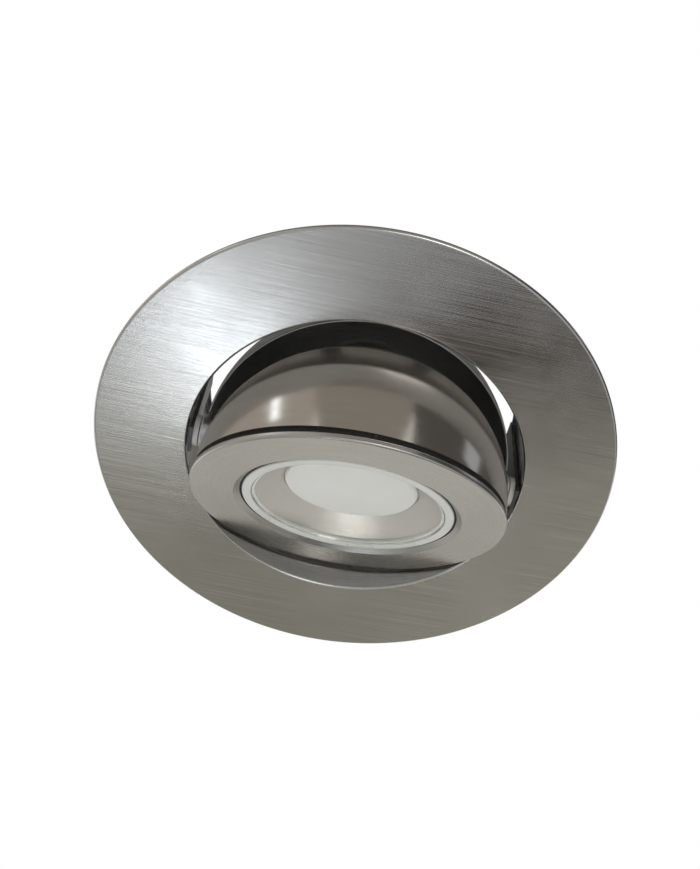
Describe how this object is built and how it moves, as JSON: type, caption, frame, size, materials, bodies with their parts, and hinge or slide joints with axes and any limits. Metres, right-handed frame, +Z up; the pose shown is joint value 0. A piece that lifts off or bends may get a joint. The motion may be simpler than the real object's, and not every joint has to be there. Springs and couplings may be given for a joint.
{
  "type": "soffit downlight",
  "caption": "Adjustable recessed soffit downlight: flat round trim ring with spring clips, and a lamp head that tilts and swivels inside it.",
  "frame": {"origin": "centre of the trim's gasket face, on the plane of the soffit's underside", "axes": "+Z points up into the soffit, +X lies along the tilt pins, and the resting head shines down and towards +Y"},
  "size_m": [0.19, 0.19, 0.1189],
  "materials": {
    "brushed_nickel": "fine straight brushing, satin",
    "satin_nickel": "satin, fine turning marks",
    "polished_nickel": "polished, warm",
    "bright_steel": "spun, bright",
    "zinc_steel": "zinc plated",
    "spring_steel": "drawn wire",
    "rivet_steel": "plain",
    "black_rubber": "matt",
    "grey_foam": "closed-cell foam",
    "white_nylon": "moulded",
    "frosted_acrylic": "translucent, frosted",
    "clear_glass": "clear",
    "reflector_silver": "satin anodised",
    "opal_diffuser": "opal",
    "heat_sink_alloy": "as cast",
    "white_board": "solder mask",
    "phosphor_yellow": "phosphor",
    "grey_pad": "soft pad",
    "case_white": "moulded, fine grain",
    "board_green": "solder mask",
    "gland_grey": "moulded"
  },
  "bodies": {
    "trim": {"trim_ring": "brushed_nickel", "ceiling_gasket": "grey_foam", "glide_ring": "white_nylon", "retaining_clip_1": "zinc_steel", "retaining_clip_2": "zinc_steel", "retaining_clip_3": "zinc_steel", "retainer_rivets": "rivet_steel", "clip_bracket_left": "zinc_steel", "clip_bracket_right": "zinc_steel", "clip_pin_left": "rivet_steel", "clip_pin_right": "rivet_steel", "clip_spring_left": "spring_steel", "clip_spring_right": "spring_steel", "clip_rivets": "rivet_steel"},
    "clip_left": {"clip_arm_left": "zinc_steel", "clip_foot_left": "black_rubber"},
    "clip_right": {"clip_arm_right": "zinc_steel", "clip_foot_right": "black_rubber"},
    "swivel": {"swivel_frame": "zinc_steel", "pivot_strap_left": "zinc_steel", "pivot_strap_right": "zinc_steel", "strap_rivets": "rivet_steel", "rear_bowl": "bright_steel", "bowl_grommet": "black_rubber", "driver_case": "case_white", "driver_lid": "case_white", "driver_board": "board_green", "board_screws": "rivet_steel", "lid_screws": "rivet_steel", "cable_gland": "gland_grey", "gland_nut": "gland_grey", "pivot_pin_left": "rivet_steel", "pivot_pin_right": "rivet_steel", "pivot_circlip_left": "spring_steel", "pivot_circlip_right": "spring_steel", "friction_washer_left": "white_nylon", "friction_washer_right": "white_nylon"},
    "head": {"front_bezel": "satin_nickel", "bezel_gasket": "black_rubber", "dome_shell": "polished_nickel", "lens_rim": "frosted_acrylic", "front_lens": "clear_glass", "lens_seal": "black_rubber", "reflector": "reflector_silver", "diffuser": "opal_diffuser", "led_board": "white_board", "led_chips": "phosphor_yellow", "thermal_pad": "grey_pad", "heat_sink": "heat_sink_alloy", "pivot_bracket_left": "zinc_steel", "pivot_bracket_right": "zinc_steel", "pivot_bush_left": "white_nylon", "pivot_bush_right": "white_nylon", "bracket_screws": "rivet_steel", "head_pillars": "rivet_steel"}
  },
  "joints": [
    {"name": "swivel_turn", "type": "hinge", "parent": "trim", "child": "swivel", "pos_m": [0, 0, 0.0366], "axis": [0, 0, 1], "range_deg": [-175, 175]},
    {"name": "head_tilt", "type": "hinge", "parent": "swivel", "child": "head", "pos_m": [0, 0, 0.0015], "axis": [1, 0, 0], "range_deg": [-26.8, 3.2]},
    {"name": "clip_right_swing", "type": "hinge", "parent": "trim", "child": "clip_right", "pos_m": [0.071, 0, 0.021], "axis": [0, -1, 0], "range_deg": [0, 80], "stiffness_Nm_per_rad": 0.02, "springref_deg": -57.3},
    {"name": "clip_left_swing", "type": "hinge", "parent": "trim", "child": "clip_left", "pos_m": [-0.071, 0, 0.021], "axis": [0, 1, 0], "range_deg": [0, 80], "stiffness_Nm_per_rad": 0.02, "springref_deg": -57.3}
  ]
}
